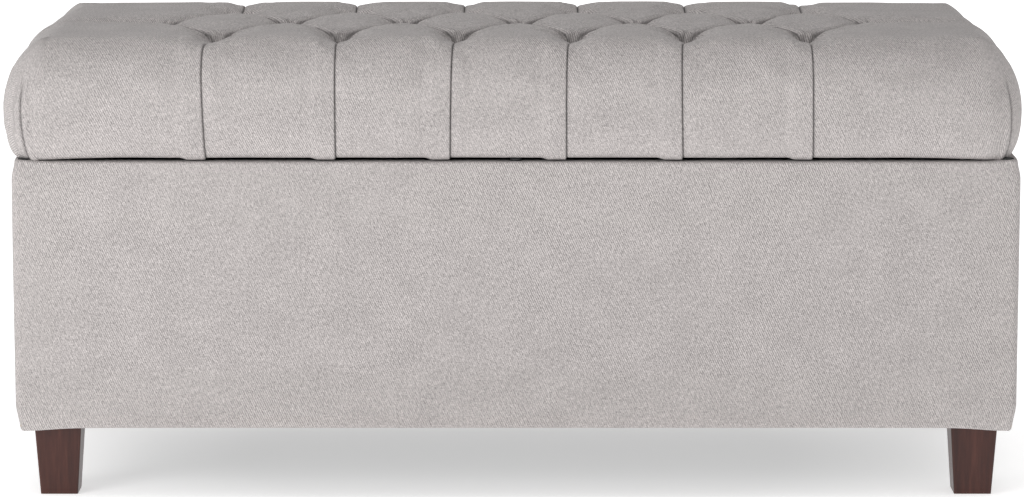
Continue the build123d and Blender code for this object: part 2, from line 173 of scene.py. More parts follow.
def stitch(inner, inner_at, outer, outer_at, length):
    """Faces between two closed chains of vertices, matched by the values along each."""
    faces = []
    i = j = 0
    n, m = len(inner), len(outer)
    while i < n or j < m:
        next_i = inner_at[(i + 1) % n] + length * ((i + 1) // n)
        next_j = outer_at[(j + 1) % m] + length * ((j + 1) // m)
        a, b = inner[i % n], outer[j % m]
        c, d = inner[(i + 1) % n], outer[(j + 1) % m]
        if i < n and j < m and abs(next_i - next_j) < 1e-6:
            faces.append((a, b, d, c))
            i += 1
            j += 1
        elif j >= m or (i < n and next_i < next_j):
            faces.append((a, b, c))
            i += 1
        else:
            faces.append((a, b, d))
            j += 1
    return faces


# --- Lid cushion ---

LID_LOW, LID_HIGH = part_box("lid_cover")
BUTTON_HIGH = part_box("tuft_buttons")[1]
LID_HALF_X, LID_HALF_Y = LID_HIGH.x, LID_HIGH.y
SEAM_Z, CREST_Z = LID_LOW.z, LID_HIGH.z
BUTTON_RADIUS = 9.5 * MM
TUFT_PITCH = 2 * (BUTTON_HIGH.x - BUTTON_RADIUS) / 6
TUFT_ROW_Y = BUTTON_HIGH.y - BUTTON_RADIUS
ROW_COUNTS = (6, 7, 6)
TUFT_SHIFT = (  # mm to the right of the even places, since hand tufting wanders
    (-3, 2, 1, -3, -9, -7),
    (-9, 3, 4, 4, 5, 4, 10),
    (7, 9, 5, 7, 2, 7),
)
TUFT_WANDER = 1.5 * MM  # to and fro
TUFT_DEPTH = 27 * MM
HOLLOW_FLOOR = 11 * MM  # radius of the flat bottom of a tuft's hollow
HOLLOW_WALL = 24 * MM
HOLLOW_POWER = 2.6
CORNER_RADIUS = 46 * MM
ROLL_IN = 56 * MM  # how far the rounding reaches in over the top
CORNER_ROLL_IN = 40 * MM
ROLL_DOWN = 56 * MM
CORNER_ROLL_DOWN = 82 * MM
CORNER_SPREAD = 60 * MM
ROLL_POWER = 2.1  # 2 is an ellipse, less is flatter
CORNER_ROLL_POWER = 1.65
CROWN = 3 * MM  # fall of the top from its middle to its ends
LID_SKEW = 3.6 * MM  # the cushion's ends bulge further to the left than to the right
BELLY = 40 * MM  # height of the widest part over the seam
SEAM_INSET = 15 * MM
LID_LINING_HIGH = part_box("lid_lining")[1]
UNDER_INSET = min(LID_HALF_X - LID_LINING_HIGH.x, LID_HALF_Y - LID_LINING_HIGH.y)
UNDER_TUCK = 5 * MM  # the cloth ends inside the lid board
PLEAT_NEAR = 78 * MM  # how far from its tuft a straight pleat stays deep
DIAGONAL_NEAR = 34 * MM
PLEAT_LEAN = (-4, -1, -7, -7, -5, 2)  # mm to the right from tuft to seam, front row
PLEAT_BOW = (-8, -1, -3, -5, -6, 0)  # mm to the right a third of the way down, over that
BACK_LEAN = (4, -3, 5, -2, 3, -5)
BACK_PULL = 0.45  # of how strongly the front row draws down the cloth
FOLD_WIDTH = 23 * MM  # of the layers folded under beside a straight pleat
FOLD_RISE = 1.1 * MM
BAND_WIDTH = 7 * MM  # of the layers beside a diagonal pleat
BAND_START = 4 * MM  # from the pleat, next to a tuft
BAND_RISE = 2.2 * MM
CORNER_PLEAT_TOP = (0.49, 0.43, 0.43, 0.46)  # of the corner's arc, from the front right round
CORNER_PLEAT_LOW = (0.50, 0.43, 0.43, 0.27)
CORNER_FOLD = 3.5 * MM  # depth and width of a corner pleat
FOLD_BLEND = 4 * MM  # how softly two folds join
HOLLOW_SHADE = 0.25  # painted shade deep in a tuft's hollow, as a share of a crease line's darkness
DIAGONAL_STEPS = 32
CORNER_STEPS = 52
TOP_ROWS = 26
ROLL_ROWS = 22
SIM_VOXEL = 6 * MM
SIM_PRESSURE = 4.0
SIM_SHRINK = -0.012  # below 0 the cloth grows
SIM_STIFFNESS = 20.0
SIM_NEIGHBOURS = 6
SIM_HELD_CREASE = 0.3
SIM_HELD_HEIGHT = 6 * MM  # over the seam
SIM_FRAMES = 20
SIM_CAP = 1.4 * MM  # the furthest that the cloth moves a vertex
LID_OUTLINE = Outline(LID_HALF_X, LID_HALF_Y, CORNER_RADIUS)


def tuft_rows():
    rng = np.random.default_rng(7)
    rows = []
    for row, count in enumerate(ROW_COUNTS):
        x = (np.arange(count) - (count - 1) / 2) * TUFT_PITCH + np.array(TUFT_SHIFT[row]) * MM
        y = (row - 1) * TUFT_ROW_Y + rng.uniform(-TUFT_WANDER, TUFT_WANDER, count)
        rows.append(np.stack([x, y], axis=1))
    return rows


TUFTS = tuft_rows()


def inner_chain():
    """The closed zigzag of tufts that bounds the diamonds, front row first, towards +X."""
    front, middle, back = TUFTS
    chain = []
    for i in range(6):
        chain.append((("f", i), front[i]))
        if i < 5:
            chain.append((("m", i + 1), middle[i + 1]))
    chain.append((("m", 6), middle[6]))
    for i in reversed(range(6)):
        chain.append((("b", i), back[i]))
        if i > 0:
            chain.append((("m", i), middle[i]))
    chain.append((("m", 0), middle[0]))
    return chain


def skirt_profile(corner):
    """Inset, height, length from the top's edge and normal (out, up), one row of values a step.
    corner is the share of corner rounding for each column."""
    rows = []
    down = ROLL_DOWN + (CORNER_ROLL_DOWN - ROLL_DOWN) * corner
    power = ROLL_POWER + (CORNER_ROLL_POWER - ROLL_POWER) * corner
    roll_in = ROLL_IN + (CORNER_ROLL_IN - ROLL_IN) * corner
    widest = CREST_Z - down
    belly = SEAM_Z + BELLY + 0 * corner
    for angle in np.linspace(0, math.pi / 2, ROLL_ROWS + 1):
        across, along = math.sin(angle) ** (2 / power), max(math.cos(angle), 0) ** (2 / power)
        inset = roll_in * (1 - across)
        out, up = across ** (power - 1) / roll_in, along ** (power - 1) / down
        rows.append((inset, widest + down * along, out, up))
    for t in np.linspace(0, 1, 13)[1:]:
        height = widest + (belly - widest) * t
        rows.append((0 * corner, height, 1 + 0 * corner, 0 * corner))
    for angle in np.linspace(0, math.pi / 2, 17)[1:]:
        inset = SEAM_INSET * (1 - math.cos(angle)) + 0 * corner
        height = belly - BELLY * math.sin(angle)
        out, up = math.cos(angle) / SEAM_INSET, -math.sin(angle) / BELLY
        rows.append((inset, height, out + 0 * corner, up + 0 * corner))
    for t in np.linspace(0, 1, 5)[1:]:
        inset = SEAM_INSET + (UNDER_INSET - SEAM_INSET) * t + 0 * corner
        rows.append((inset, SEAM_Z + 0 * corner, 0 * corner, -1 + 0 * corner))
    inset, height, out, up = (np.array(part) for part in zip(*rows))
    size = np.hypot(out, up)
    steps = np.hypot(np.diff(inset, axis=0), np.diff(height, axis=0))
    length = np.vstack([np.zeros((1, len(corner))), np.cumsum(steps, axis=0)])
    return inset, height, length, out / size, up / size


def lid_columns():
    """Every column of the skirt: its start on the chain, its place along the chain, and its
    place round the outline at the top's edge and at the seam."""
    o = LID_OUTLINE
    half = o.length / 2
    front, middle, back = TUFTS
    front_low = front[:, 0] + np.array(PLEAT_LEAN) * MM
    back_low = back[:, 0] + np.array(BACK_LEAN) * MM
    columns = []

    def add(segment, places, start, end, s_top, s_low):
        for t, share in zip(*places):
            point = start + (end - start) * t
            columns.append(
                (segment + t, point, s_top[0] + (s_top[1] - s_top[0]) * share,
                 s_low[0] + (s_low[1] - s_low[0]) * share)
            )

    even = clustered(DIAGONAL_STEPS, 0.85)[:-1]
    evenly = (even, even)
    corner_t = clustered_at_start(CORNER_STEPS, 0.5)[:-1] / 2
    corner_share = clustered(CORNER_STEPS, 0.8)[:-1]
    late_t = 1 - clustered_at_start(CORNER_STEPS, 0.5)[::-1][:-1] / 2
    into_corner, out_of_corner = (corner_t, corner_share), (late_t, corner_share)
    segment = 0
    for i in range(5):
        top_mid = (front[i, 0] + front[i + 1, 0]) / 2
        low_mid = (front_low[i] + front_low[i + 1]) / 2
        add(segment, evenly, front[i], middle[i + 1], (front[i, 0], top_mid), (front_low[i], low_mid))
        add(segment + 1, evenly, middle[i + 1], front[i + 1], (top_mid, front[i + 1, 0]),
            (low_mid, front_low[i + 1]))
        segment += 2
    pleats, low = corner_pleat_places(CORNER_PLEAT_TOP), corner_pleat_places()
    add(segment, into_corner, front[5], middle[6], (front[5, 0], pleats[0]), (front_low[5], low[0]))
    add(segment, out_of_corner, front[5], middle[6], (pleats[0], o.side_middle + middle[6, 1]),
        (low[0], o.side_middle))
    right = o.side_middle + middle[6, 1]
    add(segment + 1, into_corner, middle[6], back[5], (right, pleats[1]), (o.side_middle, low[1]))
    add(segment + 1, out_of_corner, middle[6], back[5], (pleats[1], half - back[5, 0]),
        (low[1], half - back_low[5]))
    segment += 2
    for i in range(5, 0, -1):
        top_mid = half - (back[i, 0] + back[i - 1, 0]) / 2
        low_mid = half - (back_low[i] + back_low[i - 1]) / 2
        add(segment, evenly, back[i], middle[i], (half - back[i, 0], top_mid),
            (half - back_low[i], low_mid))
        add(segment + 1, evenly, middle[i], back[i - 1], (top_mid, half - back[i - 1, 0]),
            (low_mid, half - back_low[i - 1]))
        segment += 2
    left = o.length - o.side_middle
    left_top = left - middle[0, 1]
    add(segment, into_corner, back[0], middle[0], (half - back[0, 0], pleats[2]),
        (half - back_low[0], low[2]))
    add(segment, out_of_corner, back[0], middle[0], (pleats[2], left_top), (low[2], left))
    add(segment + 1, into_corner, middle[0], front[0], (left_top, pleats[3]), (left, low[3]))
    add(segment + 1, out_of_corner, middle[0], front[0], (pleats[3], o.length + front[0, 0]),
        (low[3], o.length + front_low[0]))
    return columns, segment + 2


def bow_shape(share):
    """0 at a pleat's top and at the seam, and 1 at a quarter of the way down."""
    return np.sin(math.pi * np.sqrt(share))


def column_bow(s_low):
    """How far each column bends with the bow of the front pleats beside it."""
    pleats = TUFTS[0][:, 0] + np.array(PLEAT_LEAN) * MM
    o = LID_OUTLINE
    wrapped = np.where(s_low > o.length / 2, s_low - o.length, s_low)
    places = np.concatenate([[-o.arc_starts[0]], pleats, [o.arc_starts[0]]])
    return np.interp(wrapped, places, np.array([0, *PLEAT_BOW, 0]) * MM)


def corner_pleat_places(shares=CORNER_PLEAT_LOW):
    """Where the corner pleats lie round the outline: in each corner, measured from the long side."""
    starts = LID_OUTLINE.arc_starts
    arc = LID_OUTLINE.arc
    from_long_side = (1, -1, 1, -1)
    return [
        start + (share if way > 0 else 1 - share) * arc
        for start, share, way in zip(starts, shares, from_long_side)
    ]


class Points:
    """The cushion's vertices: smooth shape, outward direction and the facts its folds need."""

    def __init__(self):
        self.parts = []
        self.count = 0

    def add(self, x, y, z, nx, ny, nz, s, run, inset):
        """s is the place round the outline and run the length from the top's edge, or -1 on top."""
        columns = [np.ravel(a + 0.0 * x) for a in (x, y, z, nx, ny, nz, s, run, inset)]
        self.parts.append(np.stack(columns, axis=1))
        first = self.count
        self.count += len(columns[0])
        return np.arange(first, self.count)

    def all(self):
        return np.concatenate(self.parts)


def lid_mesh():
    """Vertices, faces and fold facts of the cushion's smooth shape."""
    points = Points()
    chain = inner_chain()
    tuft_index = {}
    for key, place in chain:
        if key not in tuft_index:
            values = (*place, CREST_Z, 0, 0, 1, 0, -1, 0)
            tuft_index[key] = int(points.add(*[np.array([v]) for v in values])[0])
    steps = clustered(DIAGONAL_STEPS, 0.85)
    sides = {}

    def side(a, b):
        """Vertex indices along the diagonal between two tufts."""
        if (a, b) in sides:
            return sides[a, b]
        if (b, a) in sides:
            return sides[b, a][::-1]
        start, end = (np.array(places[k]) for k in (a, b))
        line = start + (end - start) * steps[1:-1, None]
        inside = points.add(line[:, 0], line[:, 1], CREST_Z, 0, 0, 1, 0, -1, 0)
        sides[a, b] = [tuft_index[a], *inside.tolist(), tuft_index[b]]
        return sides[a, b]

    places = {key: place for key, place in chain}
    inner, inner_at = [], []
    for i, (key, _) in enumerate(chain):
        line = side(key, chain[(i + 1) % len(chain)][0])
        inner += line[:-1]
        inner_at += list(i + steps[:-1])
    faces = []
    for i in range(6):
        faces += diamond(points, places, side, steps, ("m", i), ("f", i), ("m", i + 1), ("b", i))

    columns, total = lid_columns()
    at = [c[0] for c in columns]
    start = np.array([c[1] for c in columns])
    s_top = np.array([c[2] for c in columns])
    s_low = np.array([c[3] for c in columns])
    corner = LID_OUTLINE.corner_share(s_top, CORNER_SPREAD)
    edge_x, edge_y = LID_OUTLINE.at(s_top, ROLL_IN + (CORNER_ROLL_IN - ROLL_IN) * corner)
    ring = []
    for t in clustered_at_start(TOP_ROWS, 0.9)[1:-1]:
        x = start[:, 0] + (edge_x - start[:, 0]) * t
        y = start[:, 1] + (edge_y - start[:, 1]) * t
        ring.append(points.add(x, y, CREST_Z, 0, 0, 1, s_top, -1, 0))
    inset, height, length, out, up = skirt_profile(corner)
    for k in range(len(inset)):
        share = length[k] / length[-1]
        s = s_top + (s_low - s_top) * share + column_bow(s_low) * bow_shape(share)
        nx, ny = LID_OUTLINE.normal(s)
        x, y = LID_OUTLINE.at(s, inset[k])
        ring.append(points.add(x, y, height[k], nx * out[k], ny * out[k], up[k], s, length[k], inset[k]))
    faces += stitch(inner, inner_at, ring[0].tolist(), at, total)
    faces += grid_faces(int(ring[0][0]), len(ring), len(columns), True)
    tucked = height[-1] + UNDER_TUCK
    x, y = LID_OUTLINE.at(s_low, inset[-1] + 1 * MM)
    ring.append(points.add(x, y, tucked, 0, 0, 0, s_low, length[-1], inset[-1]))
    faces += grid_faces(int(ring[-2][0]), 2, len(columns), True)
    faces.append(tuple(int(v) for v in ring[-1]))
    return points.all(), faces


def diamond(points, places, side, steps, left, front, right, back):
    """A diamond between four tufts, as a grid between its four pleats."""
    n = len(steps)
    low, high = side(left, front), side(back, right)
    near, far = side(left, back), side(front, right)
    corner = [np.array(places[k]) for k in (left, front, back, right)]
    index = np.zeros((n, n), int)
    index[0], index[-1] = low, high
    index[:, 0], index[:, -1] = near, far
    u, v = np.meshgrid(steps[1:-1], steps[1:-1], indexing="ij")
    u, v = u[..., None], v[..., None]
    plan = (1 - u) * ((1 - v) * corner[0] + v * corner[1]) + u * ((1 - v) * corner[2] + v * corner[3])
    inside = points.add(plan[..., 0], plan[..., 1], CREST_Z, 0, 0, 1, 0, -1, 0)
    index[1:-1, 1:-1] = inside.reshape(n - 2, n - 2)
    return [
        (int(index[i, j]), int(index[i, j + 1]), int(index[i + 1, j + 1]), int(index[i + 1, j]))
        for i in range(n - 1)
        for j in range(n - 1)
    ]


def pillow(distance, width):
    """1 at a pleat, falling to 0 at the width, steep at the pleat as a stuffed edge is."""
    u = np.clip(distance / width, 0.0, 1.0)
    return 1 - np.sqrt(np.maximum(1 - (1 - u) ** 2, 0.0))


def valley(offset, width):
    """1 on a line, falling softly to 0 at the width."""
    return 0.5 + 0.5 * np.cos(math.pi * np.clip(np.abs(offset) / width, 0, 1))


def fold_layers(offset, width, rise):
    """The height of the layers folded under beside a pleat, which lie at offsets below 0."""
    soft = width / 3
    up = smoothstep(-width - soft / 2, -width + soft / 2, offset)
    return rise * up * (1 - smoothstep(-0.4 * MM, 0.7 * MM, offset))


def straight_pleat(offset, run, on, pull=1.0):
    """Depth, height and painted crease shade of a pleat that runs from a tuft over the edge to the seam.
    pull is how strongly the tuft draws down the cloth beside it."""
    near = np.exp(-((run / PLEAT_NEAR) ** 4))
    depth, width = (3.0 * near + 2.0) * MM, (2.2 + 5 * near) * MM
    swell = 10.0 * near * MM * valley(offset, 25 * MM) + 2.0 * near * MM * valley(offset, 55 * MM)
    rise = FOLD_RISE * smoothstep(50 * MM, 110 * MM, run)
    sink = depth * pillow(np.abs(offset), width) + pull * swell
    lift = fold_layers(offset, FOLD_WIDTH, 1.0) * rise
    return on * sink, on * lift, on * crease_line(offset)


def lid_folds(p):
    """How far each vertex sinks, how far folded layers lift it, and how near it is to a crease, as
    painted shade that also darkens the tufts' hollows.
    """
    x, y, top = p[:, 0], p[:, 1], p[:, 7] < 0
    pleats = [*front_pleats(p), *back_pleats(p), *end_pleats(p), *corner_pleats(p)]
    pleats += [diagonal_pleat(x, y, a, b, top) for a, b in diagonals()]
    depths, rises, crease_shades = (np.array(part) for part in zip(*pleats))
    hollow = hollows(x, y, top)
    ordered = np.sort(depths, axis=0)
    depth = soft_max(ordered[-1], ordered[-2], FOLD_BLEND)
    near_tuft = hollow / TUFT_DEPTH
    rise = np.max(rises, axis=0) * (1 - smoothstep(0.25, 0.7, near_tuft))
    # painted shade: dark along the crease lines and deep in the tufts' hollows
    crease_shade = np.maximum(np.max(crease_shades, axis=0), smoothstep(0.3, 0.9, near_tuft) * HOLLOW_SHADE)
    return soft_max(depth, hollow, FOLD_BLEND), rise, crease_shade


def round_place(s):
    """Places round the outline, counted both ways from the middle of the front."""
    return np.where(s > LID_OUTLINE.length / 2, s - LID_OUTLINE.length, s)


def skirt_length():
    return skirt_profile(np.zeros(1))[2][-1, 0]


def front_pleats(p):
    x, y, s, run = p[:, 0], p[:, 1], p[:, 6], p[:, 7]
    top = run < 0
    wrapped = round_place(s)
    for place, lean, bow in zip(TUFTS[0], PLEAT_LEAN, PLEAT_BOW):
        along = np.where(top, place[1] - y, place[1] + LID_HALF_Y - ROLL_IN + run)
        share = np.clip(run / skirt_length(), 0, 1)
        here = np.where(top, x, wrapped - (lean * share + bow * bow_shape(share)) * MM)
        on = np.where(top, y < place[1], np.abs(wrapped) < LID_OUTLINE.side_middle)
        yield straight_pleat(here - place[0], along, on)


def back_pleats(p):
    x, y, s, run = p[:, 0], p[:, 1], p[:, 6], p[:, 7]
    top = run < 0
    half = LID_OUTLINE.length / 2
    behind = np.where(s > half, s - half, half - s) * np.where(s > half, -1, 1)
    for place, lean in zip(TUFTS[2], BACK_LEAN):
        along = np.where(top, y - place[1], LID_HALF_Y - ROLL_IN - place[1] + run)
        here = np.where(top, x, behind - lean * MM * np.clip(run / skirt_length(), 0, 1))
        on = np.where(top, y > place[1], np.abs(round_place(s)) > LID_OUTLINE.side_middle)
        yield straight_pleat(here - place[0], along, on, BACK_PULL)


def end_pleats(p):
    x, y, s, run = p[:, 0], p[:, 1], p[:, 6], p[:, 7]
    top = run < 0
    wrapped = round_place(s)
    for sign, place in ((-1, TUFTS[1][0]), (1, TUFTS[1][6])):
        reach = sign * place[0]
        along = np.where(top, sign * x - reach, LID_HALF_X - ROLL_IN - reach + run)
        here = np.where(top, y - place[1], sign * wrapped - LID_OUTLINE.side_middle)
        on = np.where(top, sign * x > reach, sign * wrapped > 0)
        yield straight_pleat(here, along, on)


def corner_pleats(p):
    s, run, inset = p[:, 6], p[:, 7], p[:, 8]
    o = LID_OUTLINE
    corner = o.corner_share(s, CORNER_SPREAD)
    around = skirt_profile(np.ones(1))[2][-1, 0] * corner + skirt_length() * (1 - corner)
    ends = zip(corner_pleat_places(CORNER_PLEAT_TOP), corner_pleat_places())
    for k, (high, low) in enumerate(ends):
        place = high + (low - high) * np.clip(run / around, 0, 1)
        share = np.maximum(o.radius - inset, 0) / o.radius
        offset = (s - place) * share * (1 if k % 2 else -1)
        on = np.where(run < 0, 0.0, smoothstep(45 * MM, 80 * MM, run))
        depth = on * CORNER_FOLD * pillow(np.abs(offset), CORNER_FOLD)
        # the last value is painted shade along the corner pleat
        yield depth, on * fold_layers(-offset, 8 * MM, 2.2 * MM), on * crease_line(offset / 2.3)


def hollows(x, y, top):
    """How deep each vertex lies in the hollow of the nearest tuft."""
    hollow = np.zeros_like(x)
    for place in np.concatenate(TUFTS):
        away = np.hypot(x - place[0], y - place[1])
        u = np.clip((away - HOLLOW_FLOOR) / HOLLOW_WALL, 0, 1)
        hollow = np.maximum(hollow, np.where(top, TUFT_DEPTH * (1 - u) ** HOLLOW_POWER, 0))
    return hollow


def crease_line(offset):
    """Painted shade along a fold's line: 1 on the line, falling away within a couple of millimetres."""
    return np.exp(-((offset / (0.9 * MM)) ** 2))


def soft_max(a, b, blend):
    h = np.maximum(blend - np.abs(a - b), 0) / blend
    joined = np.where(np.minimum(a, b) > 0.2 * MM, h * h * blend / 4, 0)
    return np.maximum(a, b) + joined


def diagonals():
    front, middle, back = TUFTS
    pairs = []
    for row in (front, back):
        for i in range(6):
            pairs += [(row[i], middle[i]), (row[i], middle[i + 1])]
    return pairs


def diagonal_pleat(x, y, a, b, top):
    """A pleat between two tufts; its folded layers lie on the side nearer the back."""
    along = b - a
    size = math.hypot(*along)
    ux, uy = along / size
    t = (x - a[0]) * ux + (y - a[1]) * uy
    offset = (x - a[0]) * -uy + (y - a[1]) * ux
    if ux < 0:
        offset = -offset
    ends = np.maximum(np.maximum(-t, t - size), 0)
    distance = np.hypot(offset, ends * 1.6)
    from_end = np.minimum(np.abs(t), np.abs(size - t))
    near = np.exp(-((from_end / DIAGONAL_NEAR) ** 2))
    depth, width = (4.0 + 4.0 * near) * MM, (9 + 2 * near) * MM
    swell = 2.5 * MM * np.clip(1 - distance / (60 * MM), 0, 1) ** 2
    swell = swell + 6.0 * near * MM * valley(distance, 19 * MM)
    inside = smoothstep(-2 * MM, 10 * MM, t) * smoothstep(-2 * MM, 10 * MM, size - t)
    start = BAND_START * near
    rise = fold_layers(start - offset, BAND_WIDTH, BAND_RISE) * inside * (0.3 + 0.7 * near)
    wide = 1 + 0.8 * near
    # painted shade along the pleat, and a painted shadow line along the far edge of the folded layers
    crease_shade = crease_line(np.hypot((offset - 0.8 * start) / wide, ends)) * (0.5 + 0.5 * near)
    crease_shade += 0.8 * crease_line((offset - start - BAND_WIDTH) / 1.3) * inside * near
    sink = depth * pillow(distance, width) + swell
    return np.where(top, sink, 0), np.where(top, rise, 0), np.where(top, crease_shade, 0)


def cloth_places(p):
    """Where each vertex lies in the flat cloth: the top as it is, and each side hung from its edge."""
    x, y, s, run = p[:, 0], p[:, 1], p[:, 6], p[:, 7]
    o = LID_OUTLINE
    pleats = corner_pleat_places()
    edge_x, edge_y = LID_HALF_X - ROLL_IN, LID_HALF_Y - ROLL_IN
    wrapped = np.where(s > o.length / 2, s - o.length, s)
    around_back = o.length / 2 - np.abs(wrapped)
    on_front = np.abs(wrapped) < pleats[0]
    on_back = np.abs(wrapped) > pleats[1]
    hand = np.sign(wrapped)
    u = np.where(on_front, wrapped, hand * np.where(on_back, around_back, edge_x + run))
    v = np.where(on_back, edge_y + run, np.abs(wrapped) - o.side_middle)
    v = np.where(on_front, -edge_y - run, v)
    return np.stack([np.where(run < 0, x, u), np.where(run < 0, y, v)], axis=1)


def make_cushion():
    p, faces = lid_mesh()
    depth, rise, crease_shade = lid_folds(p)
    x, y, z = p[:, 0], p[:, 1], p[:, 2]
    run = p[:, 7]
    under = np.where(z < SEAM_Z + BELLY / 2, p[:, 8], 0)
    fade = 1 - smoothstep(SEAM_INSET * 0.8, SEAM_INSET * 1.2, under)
    ripple = 0.5 * MM * waves(x, y, z, 90 * MM, 3) + 0.22 * MM * waves(x, y, z, 28 * MM, 4)
    out = rise * fade - depth * (0.3 + 0.7 * fade) + ripple * fade - 0.6 * MM
    moved = p[:, :3] + p[:, 3:6] * out[:, None]
    hang = 1.2 * MM * np.clip(rise / FOLD_RISE, 0, 1) * smoothstep(30 * MM, 0, z - SEAM_Z)
    corner = LID_OUTLINE.corner_share(p[:, 6], 62 * MM)
    hang = np.maximum(hang, 2.8 * MM * corner * smoothstep(26 * MM, 0, z - SEAM_Z))
    moved[:, 2] -= np.where(run > 0, hang, 0)
    end = np.clip(np.abs(x) / LID_HALF_X, 0, 1)
    height = np.clip((z - SEAM_Z) / (CREST_Z - SEAM_Z), 0, 1)
    moved[:, 2] -= CROWN * height * end**3
    moved[:, 0] -= LID_SKEW * smoothstep(0.6, 1.0, end)
    piece = new_piece("lid_cushion", moved, faces)
    set_cloth_places(piece, np.column_stack([cloth_places(p), depth]))
    # painted shade along the creases and in the hollows, stored for the twill to darken
    set_shade(piece, crease_shade)
    settle(piece, crease_shade)
    return piece


def settle(piece, crease_shade):
    """Lets pressure fill a coarse copy of the cushion as cloth, held at its folds, and moves the
    cushion by what the copy moved."""
    scene = bpy.context.scene
    twin = coarse_copy(piece)
    fine, start = vertex_places(piece.data), vertex_places(twin.data)
    held = fine[(crease_shade > SIM_HELD_CREASE) | (fine[:, 2] < SEAM_Z + SIM_HELD_HEIGHT)]
    pin_near(twin, start, held)
    fill_with_pressure(twin)
    for frame_number in range(1, SIM_FRAMES + 1):
        scene.frame_set(frame_number)
    moved = vertex_places(evaluated_mesh(twin)) - start
    scene.frame_set(1)
    bpy.data.objects.remove(twin)
    size = np.linalg.norm(moved, axis=1, keepdims=True)
    moved *= np.minimum(1, SIM_CAP / np.maximum(size, 1e-9))
    result = carried(fine, start, moved)
    piece.data.vertices.foreach_set("co", (fine + result).astype(np.float32).ravel())
    piece.data.update()


def coarse_copy(piece):
    twin = piece.copy()
    twin.data = piece.data.copy()
    bpy.context.scene.collection.objects.link(twin)
    remesh = twin.modifiers.new("remesh", "REMESH")
    remesh.mode, remesh.voxel_size = "VOXEL", SIM_VOXEL
    bpy.context.view_layer.update()
    coarse = evaluated_mesh(twin)
    twin.modifiers.clear()
    twin.data = coarse
    return twin


def pin_near(twin, start, held):
    """Pins the copy's vertices that lie next to the held places."""
    tree = tree_of(held)
    near = np.array([tree.find(p)[2] for p in start])
    pins = twin.vertex_groups.new(name="held")
    for index in np.nonzero(near < SIM_VOXEL)[0]:
        pins.add([int(index)], 1.0, "REPLACE")


def fill_with_pressure(twin):
    cloth = twin.modifiers.new("cloth", "CLOTH")
    cloth.settings.quality = 5
    cloth.settings.use_pressure = True
    cloth.settings.uniform_pressure_force = SIM_PRESSURE
    cloth.settings.effector_weights.gravity = 0.0
    cloth.settings.vertex_group_mass = "held"
    cloth.settings.shrink_min = SIM_SHRINK
    cloth.settings.tension_stiffness = SIM_STIFFNESS
    cloth.settings.compression_stiffness = SIM_STIFFNESS
    cloth.settings.bending_stiffness = 0.4
    cloth.point_cache.frame_start, cloth.point_cache.frame_end = 1, SIM_FRAMES


def carried(fine, start, moved):
    """The coarse copy's movement at each place of the fine mesh."""
    tree = tree_of(start)
    result = np.zeros_like(fine)
    for k, place in enumerate(fine):
        found = tree.find_n(place, SIM_NEIGHBOURS)
        weights = np.array([1 / (f[2] + 2 * MM) ** 2 for f in found])
        result[k] = weights @ moved[[f[1] for f in found]] / weights.sum()
    return result


def evaluated_mesh(piece):
    graph = bpy.context.evaluated_depsgraph_get()
    return bpy.data.meshes.new_from_object(piece.evaluated_get(graph))


def vertex_places(mesh):
    places = np.zeros(len(mesh.vertices) * 3, np.float32)
    mesh.vertices.foreach_get("co", places)
    return places.reshape(-1, 3).astype(float)


def tree_of(points):
    tree = KDTree(len(points))
    for k, point in enumerate(points):
        tree.insert(point, k)
    tree.balance()
    return tree


# --- Box cover ---

BOX_LOW, BOX_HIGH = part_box("box_cover")
BOX_HALF_X, BOX_HALF_Y = BOX_HIGH.x, BOX_HIGH.y
RIM_Z, BOX_Z = BOX_HIGH.z, BOX_LOW.z
LINING_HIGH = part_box("side_lining")[1]
WALL = BOX_HALF_X - LINING_HIGH.x + 1.2 * MM  # outer face to the inner face of the lining
BOX_OUTLINE = Outline(BOX_HALF_X, BOX_HALF_Y, 8 * MM)
RIM_RADIUS = 3 * MM
HEM_RADIUS = 4 * MM
HEM_SAG = 4.2 * MM  # of the cover at the corners, over the legs
RIM_PULL = 3.5 * MM  # how far the corners draw in at the rim and at the hem
HEM_PULL = 5 * MM
CORNER_LIFT = 1.8 * MM  # where the cloth is folded at the rim's corners
UNDER_REACH = 57 * MM


def cover_profile():
    """Inset and height of the box cover, from inside the rim to under the base."""
    start, rise = LINING_HIGH.z - 4 * MM, RIM_Z - LINING_HIGH.z
    rows = [(WALL, start + t * rise) for t in np.linspace(0, 1, 6)[:-1]]
    inner = WALL - RIM_RADIUS
    for angle in np.linspace(0, math.pi / 2, 5):
        rows.append((inner + RIM_RADIUS * math.cos(angle), RIM_Z - RIM_RADIUS * (1 - math.sin(angle))))
    rows += [(inner - t * (inner - RIM_RADIUS), RIM_Z) for t in (0.33, 0.67)]
    for angle in np.linspace(0, math.pi / 2, 7):
        rows.append((RIM_RADIUS * (1 - math.sin(angle)), RIM_Z - RIM_RADIUS * (1 - math.cos(angle))))
    low, high = BOX_Z + HEM_RADIUS, RIM_Z - RIM_RADIUS
    rows += [(0.0, high + (low - high) * t) for t in clustered(44, 0.5)[1:]]
    for angle in np.linspace(0, math.pi / 2, 7)[1:]:
        rows.append((HEM_RADIUS * (1 - math.cos(angle)), low - HEM_RADIUS * math.sin(angle)))
    rows += [(HEM_RADIUS + t * (UNDER_REACH - HEM_RADIUS), BOX_Z) for t in (0.15, 0.35, 0.6, 1.0)]
    return rows


def cover_places_round():
    """Places round the box outline from the seam at the middle of the back, finest in the corners."""
    o = BOX_OUTLINE
    ends = [0.0]
    for start in o.arc_starts:
        ends += [start, start + o.arc]
    ends.append(o.length)
    places = []
    for a, b in zip(ends[:-1], ends[1:]):
        long_side = b - a > 3 * o.arc
        count = max(10, int((b - a) / (7 * MM))) if long_side else 12
        places.append(a + (b - a) * clustered(count, 0.6 if long_side else 0.0)[:-1])
    return np.concatenate([*places, [o.length]]) + o.length / 2


